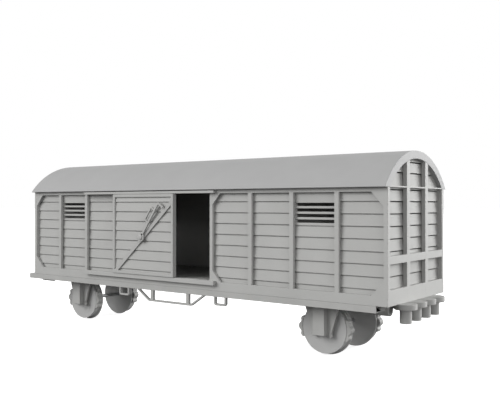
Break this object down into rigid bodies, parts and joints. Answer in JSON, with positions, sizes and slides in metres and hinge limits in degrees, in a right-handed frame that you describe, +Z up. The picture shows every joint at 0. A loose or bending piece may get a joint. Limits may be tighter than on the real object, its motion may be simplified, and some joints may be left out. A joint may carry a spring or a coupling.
{
  "type": "model box car",
  "caption": "Covered model goods wagon with a round roof, lapped boards, louvres, sliding side doors with latch levers, and disc wheels on two axles.",
  "frame": {"origin": "on the level of the wheel flanges' lowest points, under the middle of the bounding box", "axes": "+X along the car towards the end with the buffer pegs, +Z up, -Y the side whose door stands half open"},
  "size_m": [0.4414, 0.1248, 0.1668],
  "materials": {
    "body_plastic": "matte light grey, unpainted",
    "roof_plastic": "matte light grey, unpainted",
    "door_plastic": "matte light grey, unpainted",
    "underframe_plastic": "matte light grey, unpainted",
    "wheel_plastic": "matte light grey, unpainted",
    "deck_plastic": "matte grey, unpainted",
    "ballast_steel": "plain steel strip",
    "axle_steel": "turned steel",
    "pin_steel": "dull steel",
    "bush_brass": "turned brass"
  },
  "bodies": {
    "car_body": {"axle_bushes": "bush_brass", "axle_guard_far_left": "underframe_plastic", "axle_guard_far_right": "underframe_plastic", "axle_guard_near_left": "underframe_plastic", "axle_guard_near_right": "underframe_plastic", "axlebox_far_left": "underframe_plastic", "axlebox_far_right": "underframe_plastic", "axlebox_near_left": "underframe_plastic", "axlebox_near_right": "underframe_plastic", "ballast_weight": "ballast_steel", "base_plate": "underframe_plastic", "body_screws": "pin_steel", "brake_hangers": "underframe_plastic", "brake_shoes": "underframe_plastic", "buffer_pegs": "underframe_plastic", "buffer_sleeves": "underframe_plastic", "cross_members": "underframe_plastic", "door_rails_far": "body_plastic", "door_rails_near": "body_plastic", "end_boards_left": "body_plastic", "end_boards_right": "body_plastic", "end_frame_left": "body_plastic", "end_frame_right": "body_plastic", "floor_deck": "deck_plastic", "headstock_left": "underframe_plastic", "headstock_right": "underframe_plastic", "louvre_far_left": "body_plastic", "louvre_far_right": "body_plastic", "louvre_near_left": "body_plastic", "louvre_near_right": "body_plastic", "roof": "roof_plastic", "side_boards_far_left": "body_plastic", "side_boards_far_right": "body_plastic", "side_boards_near_left": "body_plastic", "side_boards_near_right": "body_plastic", "side_frame_far": "body_plastic", "side_frame_near": "body_plastic", "sill_far": "underframe_plastic", "sill_near": "underframe_plastic", "stirrup_steps": "underframe_plastic", "truss_far": "underframe_plastic", "truss_near": "underframe_plastic"},
    "door_near": {"door_boards_near": "door_plastic", "door_brace_near": "door_plastic", "door_frame_near": "door_plastic", "latch_pin_near": "pin_steel"},
    "door_far": {"door_boards_far": "door_plastic", "door_brace_far": "door_plastic", "door_frame_far": "door_plastic", "latch_pin_far": "pin_steel"},
    "latch_near": {"latch_lever_near": "door_plastic"},
    "latch_far": {"latch_lever_far": "door_plastic"},
    "wheelset_left": {"axle_left": "axle_steel", "wheel_far_left": "wheel_plastic", "wheel_near_left": "wheel_plastic"},
    "wheelset_right": {"axle_right": "axle_steel", "wheel_far_right": "wheel_plastic", "wheel_near_right": "wheel_plastic"}
  },
  "joints": [
    {"name": "near_door_slide", "type": "slide", "parent": "car_body", "child": "door_near", "axis": [1, 0, 0], "range_m": [-0.044, 0.0399]},
    {"name": "far_door_slide", "type": "slide", "parent": "car_body", "child": "door_far", "axis": [1, 0, 0], "range_m": [0, 0.0839]},
    {"name": "near_latch", "type": "hinge", "parent": "door_near", "child": "latch_near", "pos_m": [-0.0399, -0.0604, 0.0932], "axis": [0, -1, 0], "range_deg": [0, 120]},
    {"name": "far_latch", "type": "hinge", "parent": "door_far", "child": "latch_far", "pos_m": [0, 0.0604, 0.0932], "axis": [0, 1, 0], "range_deg": [0, 120]},
    {"name": "left_wheelset_spin", "type": "hinge", "parent": "car_body", "child": "wheelset_left", "pos_m": [-0.1596, 0, 0.0223], "axis": [0, 1, 0], "continuous": true},
    {"name": "right_wheelset_spin", "type": "hinge", "parent": "car_body", "child": "wheelset_right", "pos_m": [0.141, 0, 0.0223], "axis": [0, 1, 0], "continuous": true}
  ]
}
